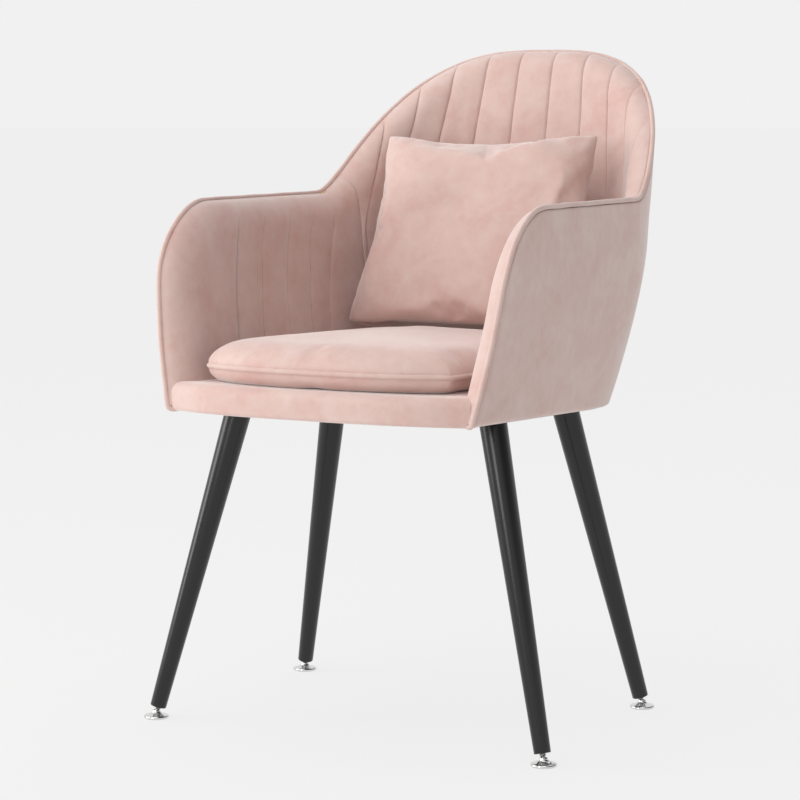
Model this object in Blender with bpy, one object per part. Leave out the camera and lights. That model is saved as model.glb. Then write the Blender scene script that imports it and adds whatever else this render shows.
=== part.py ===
"""Upholstered tub armchair: velvet shell, loose seat cushion, throw pillow and four splayed metal legs.

Units are metres, +Z is up and the chair faces -Y. The origin is on the floor, under the middle of
the chair's box. Every layer of the shell is read from one surface, shell_point, at its own depth.
"""

import math

import bmesh
import bpy
from mathutils import Matrix, Vector

GAP = 0.0003  # between pieces that touch

# Shell: the outer surface is a U in plan, flared at its foot and reclined at the back
ARM_HEIGHT = 0.651
BACK_HEIGHT = 0.840
HALF_WIDTH = 0.240
FLARE = 0.030  # how much narrower each side is at the bottom edge
FLARE_TOP = 0.600  # height at which the flare ends
FLARE_POWER = 1.6
BACK_Y = 0.2900  # middle of the back at arm height
RECLINE = 0.25  # backward travel of the back for each metre of height
SIDE_END_Y = 0.0265  # where the straight sides start to turn into the back
CORNER_POWER = 3.0  # superellipse exponent of the rear corners
SWEEP = 0.345  # distance round the shell from the back's middle to the level arm
SWEEP_POWER = 3.0
FRONT_Y = -0.3035  # front edge of the arms at the bottom
FRONT_RAKE = 0.15  # backward travel of that edge for each metre of height
ARM_CORNER_RADIUS = 0.100
BASE_Z = 0.403  # bottom edge of the shell at the front
BASE_FALL = 0.040  # how far the seat falls for each metre towards the back

# Depths of the layers, measured inwards from the outer surface
COVER_THICKNESS = 0.003
FORMER_THICKNESS = 0.007
PAD_THICKNESS = 0.0232
PAD_EDGE_THICKNESS = 0.010
PAD_EDGE_RADIUS = 0.040
FORMER_DEPTH = COVER_THICKNESS + GAP
PAD_DEPTH = FORMER_DEPTH + FORMER_THICKNESS + GAP
PIPING_RADIUS = 0.0032

# The shell's grid: columns round the U from the middle of the back, rows from the bottom edge
BACK_COLUMNS = 12
SIDE_COLUMNS = 5
CORNER_COLUMNS = 4
PAD_SPLIT = 9  # column where the arm pads meet the back pad
SEAM_GAP = 0.02  # in columns, left on each side of that seam
BASE_ROWS = (0.0, 0.008, 0.022, 0.036)
RISE_ROWS = 7
COLUMNS = BACK_COLUMNS + SIDE_COLUMNS + CORNER_COLUMNS
ROWS = len(BASE_ROWS) - 1 + RISE_ROWS

# Seat base, as heights above the bottom edge
DUST_COVER = (0.0005, 0.0013)
PLATE = (0.0045, 0.0075)
BOARD = (0.0078, 0.0198)
FOAM = (0.0201, 0.0327)
BASE_TOP = 0.0355
BASE_COVER_THICKNESS = 0.0025
FRONT_BOW = 0.034  # how far the front rail bows out between the arms
BOW_POWER = 3.0
FRONT_SEGMENTS = 10
MIN_STEP = 0.004  # shortest side of a plan outline

# Loose cushions
CUSHION_DEPTH = 0.043
CUSHION = (0.0361, 0.0870)
CUSHION_BOW = 0.042
CUSHION_BEVEL = 0.013
WELT_HEIGHT = 0.0540
WELT_RADIUS = 0.003
PILLOW_WIDTH = 0.322
PILLOW_HEIGHT = 0.268
PILLOW_THICKNESS = 0.100
PILLOW_LEAN = math.radians(20.5)
PILLOW_CENTRE = (-0.012, 0.141, 0.609)

# Legs and their fittings
FOOT_FRONT = (0.271, -0.2415)
FOOT_REAR = (0.251, 0.1010)
TOP_FRONT = (0.1755, -0.1875)
TOP_REAR = (0.1670, 0.0380)
LEG_TOP_RADIUS = 0.0170
LEG_END_RADIUS = 0.0102
LEG_WALL = 0.0015
LEG_END_Z = 0.0150
LEG_SIDES = 20
LEG_HOLE_RADIUS = 0.0215  # in the dust cover
PLATE_SIZE = 0.060
PLATE_INSET = 0.012  # how far inboard of its leg each plate is centred
HOLE_PITCH = 0.044
SCREW_RADIUS = 0.0018
SCREW_HEAD_RADIUS = 0.0038
SCREW_HEAD = 0.0020
SCREW_REACH = 0.0100
INSERT_RADIUS = 0.0083
INSERT_LENGTH = 0.018
STUD_RADIUS = 0.0040
STUD_LENGTH = 0.026
BALL_RADIUS = 0.0030
BALL_Z = 0.0062
FOOT_RADIUS = 0.0160

# Bolts through the shell's sides into the edge of the seat board: side and place along it
BOLT_SPOTS = ((1, -0.235), (1, -0.070), (-1, -0.235), (-1, -0.070))
BOLT_RADIUS = 0.0030
BOLT_LENGTH = 0.030
BOLT_HEAD_RADIUS = 0.0050
BOLT_HEAD = 0.0019  # height of the head under the former's face
BOLT_SOCKET_RADIUS = 0.0022
BOLT_SOCKET = 0.0010
SINK_CLEARANCE = 0.0006

MATERIALS = {
    "velvet": ((0.67, 0.47, 0.43), 0.85, 0.0),
    "foam": ((0.86, 0.80, 0.62), 0.90, 0.0),
    "plywood": ((0.62, 0.45, 0.28), 0.60, 0.0),
    "lining": ((0.05, 0.05, 0.05), 0.90, 0.0),
    "black_paint": ((0.02, 0.02, 0.02), 0.35, 0.0),
    "zinc_steel": ((0.62, 0.62, 0.60), 0.35, 1.0),
    "chrome": ((0.80, 0.80, 0.80), 0.10, 1.0),
}


def clear_scene():
    for thing in list(bpy.data.objects):
        bpy.data.objects.remove(thing, do_unlink=True)


def material(name):
    """Return the named finish, made the first time it is asked for."""
    made = bpy.data.materials.get(name)
    if made:
        return made
    made = bpy.data.materials.new(name)
    made.use_nodes = True
    colour, roughness, metallic = MATERIALS[name]
    shader = made.node_tree.nodes["Principled BSDF"]
    shader.inputs["Base Color"].default_value = (*colour, 1.0)
    shader.inputs["Roughness"].default_value = roughness
    shader.inputs["Metallic"].default_value = metallic
    made.diffuse_color = (*colour, 1.0)
    return made


def finish(bm, name, finish_name, smooth=True):
    """Turn a bmesh into a named object with its material."""
    bmesh.ops.recalc_face_normals(bm, faces=bm.faces)
    if bm.calc_volume(signed=True) < 0:
        bmesh.ops.reverse_faces(bm, faces=bm.faces)
    mesh = bpy.data.meshes.new(name)
    bm.to_mesh(mesh)
    bm.free()
    mesh.materials.append(material(finish_name))
    if smooth:
        mesh.shade_smooth()
        mesh.set_sharp_from_angle(angle=math.radians(35))
    made = bpy.data.objects.new(name, mesh)
    bpy.context.scene.collection.objects.link(made)
    return made


def cut(target, cutters):
    """Subtract closed cutters from an object with exact booleans."""
    for cutter in cutters:
        cutter.hide_render = True
        cutter.display_type = "WIRE"
        step = target.modifiers.new(cutter.name, "BOOLEAN")
        step.operation = "DIFFERENCE"
        step.solver = "EXACT"
        step.object = cutter


# ---- The shell's reference surface ----


def base_z(y):
    """Height of the shell's bottom edge, which falls towards the back."""
    return BASE_Z - BASE_FALL * (y - FRONT_Y)


def narrowing(z):
    """How far the side is drawn in at a height, in metres."""
    below = max(0.0, FLARE_TOP - z) / (FLARE_TOP - BASE_Z)
    return FLARE * below**FLARE_POWER


def front_y(z):
    return FRONT_Y + FRONT_RAKE * (z - BASE_Z)


def corner_point(angle, z):
    """Point of the rear quarter at a height: 0 is the back's middle, a right angle is the side."""
    half = HALF_WIDTH - narrowing(z)
    reach = BACK_Y + RECLINE * (z - ARM_HEIGHT) - narrowing(z) - SIDE_END_Y
    x = half * math.sin(angle) ** (2 / CORNER_POWER)
    y = SIDE_END_Y + reach * math.cos(angle) ** (2 / CORNER_POWER)
    return Vector((x, y, z))


def even_angles(count):
    """Angles that divide the rear quarter into equal lengths at arm height."""
    fine = 600
    points = [corner_point(math.pi / 2 * k / fine, ARM_HEIGHT) for k in range(fine + 1)]
    lengths = [0.0]
    for before, after in zip(points, points[1:]):
        lengths.append(lengths[-1] + (after - before).length)
    angles = []
    k = 0
    for step in range(count + 1):
        wanted = lengths[-1] * step / count
        while k < fine and lengths[k] < wanted:
            k += 1
        angles.append(math.pi / 2 * k / fine)
    return angles, lengths[-1]


CORNER_ANGLES, CORNER_LENGTH = even_angles(BACK_COLUMNS)
CORNER_CENTRE_Z = ARM_HEIGHT - ARM_CORNER_RADIUS
CORNER_CENTRE_Y = front_y(CORNER_CENTRE_Z) + ARM_CORNER_RADIUS


def column_y(column):
    """Where a side column stands at the arm corner's height."""
    turn = column - BACK_COLUMNS
    if turn <= SIDE_COLUMNS:
        return SIDE_END_Y + (CORNER_CENTRE_Y - SIDE_END_Y) * turn / SIDE_COLUMNS
    angle = math.pi / 2 * (turn - SIDE_COLUMNS) / CORNER_COLUMNS
    return CORNER_CENTRE_Y - ARM_CORNER_RADIUS * math.sin(angle)


def rim_z(column):
    """Height of the rim: arched back, hollow sweep, level arm and round front corner."""
    if column > BACK_COLUMNS + SIDE_COLUMNS:
        reach = CORNER_CENTRE_Y - column_y(column)
        return CORNER_CENTRE_Z + math.sqrt(max(0.0, ARM_CORNER_RADIUS**2 - reach**2))
    if column >= BACK_COLUMNS:
        return ARM_HEIGHT
    run = min(1.0, CORNER_LENGTH * column / BACK_COLUMNS / SWEEP)
    return ARM_HEIGHT + (BACK_HEIGHT - ARM_HEIGHT) * (1 - run**SWEEP_POWER) ** 2


def outer_point(column, z):
    """Point of the outer surface on a column, given its height; negative columns are on the left."""
    side = 1 if column >= 0 else -1
    column = abs(column)
    if column <= BACK_COLUMNS:
        low = int(column)
        high = min(low + 1, BACK_COLUMNS)
        share = column - low
        angle = CORNER_ANGLES[low] * (1 - share) + CORNER_ANGLES[high] * share
        point = corner_point(angle, z)
    else:
        share = (SIDE_END_Y - column_y(column)) / (SIDE_END_Y - front_y(CORNER_CENTRE_Z))
        y = SIDE_END_Y + (front_y(z) - SIDE_END_Y) * share
        point = Vector((HALF_WIDTH - narrowing(z), y, z))
    point.x *= side
    return point


def row_z(column, row):
    """Height of a grid row: three level rows at the base, then even steps up to the rim."""
    column = abs(column)
    foot = outer_point(column, BASE_Z)
    start = base_z(foot.y)
    if row < len(BASE_ROWS):
        return start + BASE_ROWS[row]
    share = (row - len(BASE_ROWS) + 1) / RISE_ROWS
    low = start + BASE_ROWS[-1]
    return low + (rim_z(column) - low) * share


def shell_normal(column, z):
    """Outward unit normal of the outer surface."""
    step = 0.05
    left = max(-COLUMNS, column - step)
    right = min(COLUMNS, column + step)
    along = outer_point(right, z) - outer_point(left, z)
    rise = outer_point(column, z + 0.002) - outer_point(column, z - 0.002)
    normal = rise.cross(along).normalized()
    outward = outer_point(column, z) - Vector((0.0, SIDE_END_Y, z))
    return normal if normal.dot(outward) > 0 else -normal


def shell_point(column, row, depth):
    """Point of the shell's grid at a depth under the outer surface."""
    z = row_z(column, row)
    return outer_point(column, z) - depth * shell_normal(column, z)


def shell_block(columns, rows, depths, name, finish_name):
    """Closed slab over part of the shell's grid, between an outer depth and a depth function."""
    bm = bmesh.new()
    across = columns[1] - columns[0]
    up = rows[1] - rows[0]
    bmesh.ops.create_grid(bm, x_segments=across, y_segments=up, size=0.5)
    outer = [face for face in bm.faces]
    inner = bmesh.ops.extrude_face_region(bm, geom=outer, use_keep_orig=True)
    lifted = [item for item in inner["geom"] if isinstance(item, bmesh.types.BMVert)]
    bmesh.ops.translate(bm, verts=lifted, vec=(0, 0, 1))
    for vert in bm.verts:
        column = columns[0] + round((vert.co.x + 0.5) * across)
        row = rows[0] + round((vert.co.y + 0.5) * up)
        depth = depths(column, row) if vert.co.z > 0.5 else depths(None, None)
        if abs(column) == PAD_SPLIT and column in columns:
            column += SEAM_GAP if column == columns[0] else -SEAM_GAP
        vert.co = shell_point(column, row, depth)
    return finish(bm, name, finish_name)


def layer(depth, thickness):
    """Depth function of a layer of one thickness."""
    return lambda column, row: depth if column is None else depth + thickness


def pad_layer(columns):
    """Depth function of a pad whose edges are rolled down."""

    def depth(column, row):
        if column is None:
            return PAD_DEPTH
        here = shell_point(column, row, 0)
        sides = [shell_point(edge, row, 0) for edge in columns]
        ends = [shell_point(column, edge, 0) for edge in (len(BASE_ROWS) - 1, ROWS)]
        near = min((here - edge).length for edge in sides + ends)
        share = 1 - min(1.0, near / PAD_EDGE_RADIUS)
        rise = (PAD_THICKNESS - PAD_EDGE_THICKNESS) * math.sqrt(1 - share**2)
        return PAD_DEPTH + PAD_EDGE_THICKNESS + rise

    return depth


def tube(points, radius, name, finish_name, closed=False, sides=1):
    """Round bead along a path, made from a bevelled curve."""
    curve = bpy.data.curves.new(name, "CURVE")
    curve.dimensions = "3D"
    curve.bevel_depth = radius
    curve.bevel_resolution = sides
    curve.use_fill_caps = True
    spline = curve.splines.new("POLY")
    spline.points.add(len(points) - 1)
    for spot, point in zip(spline.points, points):
        spot.co = (*point, 1.0)
    spline.use_cyclic_u = closed
    curve.materials.append(material(finish_name))
    made = bpy.data.objects.new(name, curve)
    bpy.context.scene.collection.objects.link(made)
    return made


def rim_path():
    """Grid places along the rim: up one front edge, round the top and down the other."""
    up = [(COLUMNS, row) for row in range(ROWS + 1)]
    over = [(column, ROWS) for column in range(COLUMNS - 1, -COLUMNS, -1)]
    down = [(-COLUMNS, row) for row in range(ROWS, -1, -1)]
    return up + over + down


def make_piping():
    """Bead sewn into the seam along the rim, just off the edges of the layers."""
    places = rim_path()
    edge = [shell_point(column, row, PIPING_RADIUS + GAP) for column, row in places]
    points = []
    for k, (column, row) in enumerate(places):
        before = edge[max(0, k - 1)]
        after = edge[min(len(edge) - 1, k + 1)]
        run = (after - before).normalized()
        off = shell_normal(column, row_z(column, row)).cross(run).normalized()
        points.append(edge[k] + off * (PIPING_RADIUS + GAP * 2))
    return tube(points, PIPING_RADIUS, "rim_piping", "velvet")


def make_shell():
    whole = (-COLUMNS, COLUMNS)
    pad_rows = (len(BASE_ROWS) - 1, ROWS)
    shell_block(whole, (0, ROWS), layer(0.0, COVER_THICKNESS), "outer_cover", "velvet")
    former = shell_block(
        whole, (1, ROWS), layer(FORMER_DEPTH, FORMER_THICKNESS), "shell_former", "plywood"
    )
    spans = {
        "back_pad": (-PAD_SPLIT, PAD_SPLIT),
        "right_arm_pad": (-COLUMNS, -PAD_SPLIT),
        "left_arm_pad": (PAD_SPLIT, COLUMNS),
    }
    for name, columns in spans.items():
        shell_block(columns, pad_rows, pad_layer(columns), name, "velvet")
    make_piping()
    return former


# ---- Seat base ----


def plan_outline(depth, bow, inset=0.0):
    """Outline inside the shell at its bottom edge, closed by a bowed front."""
    row = 0
    ring = [shell_point(column, row, depth) for column in range(COLUMNS, -COLUMNS - 1, -1)]
    half = ring[0].x
    front = ring[0].y + inset
    sides = [point for point in ring if point.y > front + MIN_STEP]
    outline = [Vector((half, front, 0))]
    outline += [Vector((point.x, point.y, 0)) for point in sides]
    outline.append(Vector((-half, front, 0)))
    for step in range(1, FRONT_SEGMENTS):
        x = -half + 2 * half * step / FRONT_SEGMENTS
        outline.append(Vector((x, front - bow * (1 - (abs(x) / half) ** BOW_POWER), 0)))
    return outline


def prism(outline, heights, bevel=0.0):
    """Solid with a plan outline between two heights over the sloping base plane."""
    bm = bmesh.new()
    face = bm.faces.new([bm.verts.new(point) for point in outline])
    raised = bmesh.ops.extrude_face_region(bm, geom=[face], use_keep_orig=True)
    top = [item for item in raised["geom"] if isinstance(item, bmesh.types.BMVert)]
    bmesh.ops.translate(bm, verts=top, vec=(0, 0, heights[1] - heights[0]))
    if bevel:
        rims = [edge for edge in bm.edges if abs(edge.verts[0].co.z - edge.verts[1].co.z) < 1e-6]
        bmesh.ops.bevel(
            bm, geom=rims, offset=bevel, segments=2, affect="EDGES", profile=0.5, material=-1
        )
    for vert in bm.verts:
        vert.co.z += base_z(vert.co.y) + heights[0]
    return bm


def cylinder(radius, low, high, sides=16):
    """Upright cylinder between two heights on the Z axis."""
    bm = bmesh.new()
    bmesh.ops.create_cone(
        bm, cap_ends=True, segments=sides, radius1=radius, radius2=radius, depth=high - low
    )
    bmesh.ops.translate(bm, verts=bm.verts, vec=(0, 0, (low + high) / 2))
    return bm


SEAT_TILT = Matrix.Rotation(-math.atan(BASE_FALL), 4, "X")


def on_base(x, y, height):
    """Placement square to the sloping base plane, at a height over it."""
    return Matrix.Translation((x, y, base_z(y) + height)) @ SEAT_TILT


def leg_tops():
    """Name, sideways sign, foot and top of each leg."""
    rows = (("front", FOOT_FRONT, TOP_FRONT), ("rear", FOOT_REAR, TOP_REAR))
    for word, foot, top in rows:
        for side_word, side in (("left", 1), ("right", -1)):
            yield f"{word}_{side_word}", side, foot, top


def screw_places(side, top):
    middle = side * (top[0] - PLATE_INSET)
    for dx in (-0.5, 0.5):
        for dy in (-0.5, 0.5):
            yield middle + dx * HOLE_PITCH, top[1] + dy * HOLE_PITCH


def make_seat_base(former):
    cover = finish(prism(plan_outline(PAD_DEPTH, FRONT_BOW), (0.0, BASE_TOP), 0.010),
                   "seat_base_cover", "velvet")
    wall = BASE_COVER_THICKNESS
    hollow = finish(
        prism(plan_outline(PAD_DEPTH + wall, FRONT_BOW, wall), (-0.02, BASE_TOP - wall), 0.006),
        "seat_hollow_cutter", "foam")
    cut(cover, [hollow])
    inner = PAD_DEPTH + wall + GAP * 2
    finish(prism(plan_outline(inner, FRONT_BOW, 0.006), FOAM, 0.007), "seat_foam", "foam")
    board = finish(prism(plan_outline(inner, FRONT_BOW - 0.012, 0.016), BOARD),
                   "seat_board", "plywood", smooth=False)
    lining = finish(prism(plan_outline(inner, FRONT_BOW, 0.006), DUST_COVER),
                    "dust_cover", "lining", smooth=False)
    holes = bmesh.new()
    pilots = bmesh.new()
    for _, side, _, top in leg_tops():
        add(holes, cylinder(LEG_HOLE_RADIUS, -0.01, 0.01, 20),
            on_base(side * top[0], top[1], 0))
        for x, y in screw_places(side, top):
            add(pilots, cylinder(SCREW_RADIUS + GAP * 2, -0.01, SCREW_REACH + 0.001, 8),
                on_base(x, y, BOARD[0]))
    cut(lining, [finish(holes, "leg_hole_cutter", "lining")])
    pilot_cutter = finish(pilots, "pilot_cutter", "lining")
    make_bolts(board, cover, former, pilot_cutter)


def make_bolts(board, cover, former, pilot_cutter):
    """Socket bolts from the former into the board, with their holes and the sinks for their heads."""
    shanks = bmesh.new()
    sinks = bmesh.new()
    for side, y in BOLT_SPOTS:
        add(shanks, cylinder(BOLT_RADIUS + GAP, -0.05, 0.02, 10), bolt_frame(side, y))
        sink_radius = BOLT_HEAD_RADIUS + SINK_CLEARANCE
        add(sinks, cylinder(sink_radius, -BOLT_HEAD - GAP, 0.02, 12), bolt_frame(side, y))
    shank_cutter = finish(shanks, "bolt_shank_cutter", "lining")
    cut(board, [pilot_cutter, shank_cutter])
    cut(cover, [shank_cutter])
    cut(former, [shank_cutter, finish(sinks, "bolt_sink_cutter", "lining")])
    crown = 0.0004
    profile = [(0, -BOLT_LENGTH), (BOLT_RADIUS * 0.9, -BOLT_LENGTH),
               (BOLT_RADIUS, -BOLT_LENGTH + 0.001), (BOLT_RADIUS, -BOLT_HEAD),
               (BOLT_HEAD_RADIUS - 0.0002, -BOLT_HEAD), (BOLT_HEAD_RADIUS, -BOLT_HEAD + crown),
               (BOLT_HEAD_RADIUS, 0), (BOLT_HEAD_RADIUS - crown, crown),
               (BOLT_SOCKET_RADIUS, crown), (BOLT_SOCKET_RADIUS, -BOLT_SOCKET),
               (0, -BOLT_SOCKET)]
    for k, (side, y) in enumerate(BOLT_SPOTS):
        bm = turned(profile, 10)
        bmesh.ops.transform(bm, matrix=bolt_frame(side, y), verts=bm.verts)
        finish(bm, f"shell_bolt_{k + 1}", "zinc_steel")


def bolt_frame(side, y):
    """Placement of a shell bolt: its axis runs outwards through the side into the board's edge."""
    z = base_z(y) + (BOARD[0] + BOARD[1]) / 2
    x = HALF_WIDTH - narrowing(z) - FORMER_DEPTH - 0.0030
    return Matrix.Translation((side * x, y, z)) @ Matrix.Rotation(side * math.pi / 2, 4, "Y")


def add(bm, piece, place):
    """Move a piece to its place and put it into a bmesh."""
    bmesh.ops.transform(piece, matrix=place, verts=piece.verts)
    mesh = bpy.data.meshes.new("piece")
    piece.to_mesh(mesh)
    piece.free()
    bm.from_mesh(mesh)
    bpy.data.meshes.remove(mesh)


def turned(profile, sides, closed=False):
    """Solid turned about Z from (radius, height) pairs: a closed ring, or a line from axis to axis."""
    bm = bmesh.new()
    verts = [bm.verts.new((radius, 0, height)) for radius, height in profile]
    ends = verts[1:] + verts[:1] if closed else verts[1:]
    edges = [bm.edges.new(pair) for pair in zip(verts, ends)]
    bmesh.ops.spin(
        bm, geom=verts + edges, cent=(0, 0, 0), axis=(0, 0, 1), angle=2 * math.pi,
        steps=sides, use_merge=True,
    )
    bmesh.ops.remove_doubles(bm, verts=bm.verts, dist=1e-6)
    return bm


# ---- Loose cushions ----


def make_cushion():
    outline = plan_outline(CUSHION_DEPTH, CUSHION_BOW, 0.022)
    finish(prism(outline, CUSHION, CUSHION_BEVEL), "seat_cushion", "velvet")
    ring = []
    for k, point in enumerate(outline):
        run = outline[(k + 1) % len(outline)] - outline[k - 1]
        off = Vector((run.y, -run.x, 0)).normalized()
        if off.dot(point) < 0:
            off = -off
        place = point + off * (WELT_RADIUS + GAP * 4)
        place.z = base_z(place.y) + WELT_HEIGHT
        ring.append(place)
    tube(ring, WELT_RADIUS, "seat_cushion_welt", "velvet", closed=True)


def make_pillow():
    bm = bmesh.new()
    bmesh.ops.create_grid(bm, x_segments=10, y_segments=8, size=0.5)
    faces = [face for face in bm.faces]
    back = bmesh.ops.extrude_face_region(bm, geom=faces, use_keep_orig=True)
    lifted = [item for item in back["geom"] if isinstance(item, bmesh.types.BMVert)]
    bmesh.ops.translate(bm, verts=lifted, vec=(0, 0, 1))
    for vert in bm.verts:
        across = 2 * vert.co.x
        up = 2 * vert.co.y
        bulge = ((1 - across**4) * (1 - up**4)) ** 0.5
        pull = 1 - 0.05 * (1 - across**2) * up**2
        tuck = 1 - 0.05 * (1 - up**2) * across**2
        thick = 0.004 + (PILLOW_THICKNESS / 2 - 0.004) * bulge
        side = 1 if vert.co.z > 0.5 else -1
        vert.co = (across * tuck * PILLOW_WIDTH / 2, side * thick, up * pull * PILLOW_HEIGHT / 2)
    lean = Matrix.Translation(PILLOW_CENTRE) @ Matrix.Rotation(-PILLOW_LEAN, 4, "X")
    bmesh.ops.transform(bm, matrix=lean, verts=bm.verts)
    finish(bm, "throw_pillow", "velvet")


# ---- Legs, plates, screws and levelling feet ----


def leg_frame(side, foot, top):
    """Placement whose Z runs down the leg, from its top to its foot, with its origin at the ball."""
    ball = Vector((side * foot[0], foot[1], BALL_Z))
    high = Vector((side * top[0], top[1], base_z(top[1]) + PLATE[0] - GAP))
    down = (ball - high).normalized()
    turn = down.to_track_quat("Z", "Y").to_matrix().to_4x4()
    return Matrix.Translation(ball) @ turn, (ball - high).length


def make_leg(name, place, length):
    """Tapered tube, cut square at the foot and flat against its plate at the top."""
    end = -(LEG_END_Z - BALL_Z) / abs(place.col[2].z)
    inner_high = LEG_TOP_RADIUS - LEG_WALL
    inner_end = LEG_END_RADIUS - LEG_WALL
    rounding = 0.0008
    profile = [(LEG_TOP_RADIUS, -length), (LEG_END_RADIUS, end - rounding),
               (LEG_END_RADIUS - rounding, end), (inner_end, end), (inner_high, -length)]
    bm = turned(profile, LEG_SIDES, closed=True)
    bmesh.ops.transform(bm, matrix=place, verts=bm.verts)
    down = place.col[2].to_3d()
    slope = Vector((0, BASE_FALL, 1)).normalized()
    high = place.col[3].to_3d() - down * length
    for vert in bm.verts:
        if (vert.co - high).length < 2 * LEG_TOP_RADIUS:
            vert.co -= down * ((vert.co - high).dot(slope) / down.dot(slope))
    finish(bm, f"leg_{name}", "black_paint")
    return end


def make_fittings(name, side, top, place, end):
    """Plate and screws at the leg's top, threaded insert, stud and foot pad at its end."""
    plate = bmesh.new()
    bmesh.ops.create_cube(plate, size=1.0)
    bmesh.ops.scale(plate, verts=plate.verts, vec=(PLATE_SIZE, PLATE_SIZE, PLATE[1] - PLATE[0]))
    corners = [edge for edge in plate.edges
               if abs(edge.verts[0].co.z - edge.verts[1].co.z) > 0.001]
    bmesh.ops.bevel(plate, geom=corners, offset=0.008, segments=2, affect="EDGES", profile=0.5,
                    material=-1)
    bmesh.ops.transform(plate, verts=plate.verts,
                        matrix=on_base(side * (top[0] - PLATE_INSET), top[1], sum(PLATE) / 2))
    plate_object = finish(plate, f"leg_plate_{name}", "zinc_steel", smooth=False)
    holes = bmesh.new()
    for k, (x, y) in enumerate(screw_places(side, top)):
        add(holes, cylinder(SCREW_RADIUS + GAP * 2, -0.01, 0.01, 8), on_base(x, y, PLATE[0]))
        low = -GAP - SCREW_HEAD
        profile = [(0, low), (SCREW_HEAD_RADIUS * 0.75, low),
                   (SCREW_HEAD_RADIUS, low + SCREW_HEAD * 0.6), (SCREW_HEAD_RADIUS, -GAP),
                   (SCREW_RADIUS, -GAP), (SCREW_RADIUS, 0.008), (0, 0.008 + SCREW_RADIUS)]
        bm = turned(profile, 8)
        bmesh.ops.transform(bm, matrix=on_base(x, y, PLATE[0]), verts=bm.verts)
        finish(bm, f"plate_screw_{name}_{k + 1}", "zinc_steel")
    cut(plate_object, [finish(holes, f"plate_hole_cutter_{name}", "lining")])
    insert = bmesh.new()
    add(insert, turned([(0, end - INSERT_LENGTH), (INSERT_RADIUS, end - INSERT_LENGTH),
                        (INSERT_RADIUS, end), (0, end)], 16), Matrix.Identity(4))
    bmesh.ops.transform(insert, matrix=place, verts=insert.verts)
    insert_object = finish(insert, f"foot_insert_{name}", "zinc_steel")
    bore = cylinder(STUD_RADIUS + GAP, end - INSERT_LENGTH - 0.01, end + 0.01, 12)
    bmesh.ops.transform(bore, matrix=place, verts=bore.verts)
    cut(insert_object, [finish(bore, f"insert_bore_cutter_{name}", "lining")])
    make_foot(name, place)


def make_foot(name, place):
    """Stud with a ball end, and the round foot pad that tilts on it."""
    ball = [(BALL_RADIUS * math.sin(angle), BALL_RADIUS * math.cos(angle))
            for angle in [math.pi * k / 7 for k in range(6)]]
    neck = [(0.0020, -0.0052), (STUD_RADIUS, -0.0058), (STUD_RADIUS, -STUD_LENGTH + 0.001),
            (STUD_RADIUS - 0.001, -STUD_LENGTH), (0, -STUD_LENGTH)]
    stud = finish(turned(ball + neck, 12), f"foot_stud_{name}", "zinc_steel")
    stud.matrix_world = place
    bore = BALL_RADIUS + GAP
    profile = [(0, 0), (FOOT_RADIUS - 0.0012, 0), (FOOT_RADIUS - 0.0003, 0.0008),
               (FOOT_RADIUS, 0.0020), (FOOT_RADIUS - 0.0004, 0.0034), (FOOT_RADIUS - 0.0018, 0.0043),
               (0.0090, 0.0056), (0.0062, 0.0070), (0.0049, 0.0085), (0.0046, 0.0104),
               (bore + 0.0002, 0.0106), (bore, 0.0102), (bore, BALL_Z),
               (bore * 0.8, BALL_Z - bore * 0.6), (bore * 0.4, BALL_Z - bore * 0.9),
               (0, BALL_Z - bore)]
    pad = finish(turned(profile, 16), f"foot_pad_{name}", "chrome")
    pad.location = (place.col[3].x, place.col[3].y, 0)


def make_legs():
    for name, side, foot, top in leg_tops():
        place, length = leg_frame(side, foot, top)
        end = make_leg(name, place, length)
        make_fittings(name, side, top, place, end)


clear_scene()
shell = make_shell()
make_seat_base(shell)
make_cushion()
make_pillow()
make_legs()
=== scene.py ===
"""Upholstered tub armchair in dusty pink velvet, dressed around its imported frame.

Metres, +Z up, the chair faces -Y and +X is the sitter's left. Each section makes one piece or one
group of like pieces, in the order in which the chair is put together.
"""

import math

import bmesh
import bpy
import numpy as np
from mathutils import Matrix, Vector, bvhtree, noise


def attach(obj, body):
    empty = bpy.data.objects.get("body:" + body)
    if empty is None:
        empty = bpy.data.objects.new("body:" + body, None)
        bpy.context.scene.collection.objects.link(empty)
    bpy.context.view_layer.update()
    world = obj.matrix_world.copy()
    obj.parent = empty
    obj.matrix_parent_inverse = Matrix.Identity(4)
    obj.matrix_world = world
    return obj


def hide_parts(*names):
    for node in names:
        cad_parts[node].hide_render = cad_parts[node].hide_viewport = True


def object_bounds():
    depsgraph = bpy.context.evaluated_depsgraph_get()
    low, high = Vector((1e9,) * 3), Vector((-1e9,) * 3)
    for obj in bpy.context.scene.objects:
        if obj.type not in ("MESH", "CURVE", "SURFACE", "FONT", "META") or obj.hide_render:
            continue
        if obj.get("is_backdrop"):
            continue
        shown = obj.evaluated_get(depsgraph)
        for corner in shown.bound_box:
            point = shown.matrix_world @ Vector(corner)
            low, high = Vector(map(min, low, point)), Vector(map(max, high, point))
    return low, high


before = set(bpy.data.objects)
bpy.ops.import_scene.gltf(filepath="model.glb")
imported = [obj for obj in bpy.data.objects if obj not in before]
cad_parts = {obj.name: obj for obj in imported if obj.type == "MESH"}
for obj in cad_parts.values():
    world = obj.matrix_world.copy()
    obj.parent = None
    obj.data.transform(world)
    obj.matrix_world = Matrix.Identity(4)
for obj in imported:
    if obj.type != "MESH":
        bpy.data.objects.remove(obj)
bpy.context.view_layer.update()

# ---- Studio ----
# A plain pale sweep and soft lights: a key from the upper left in front, a broad light over the
# chair, a low one in front and a tall wide one on the left. A long lens looks from the right.

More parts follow.
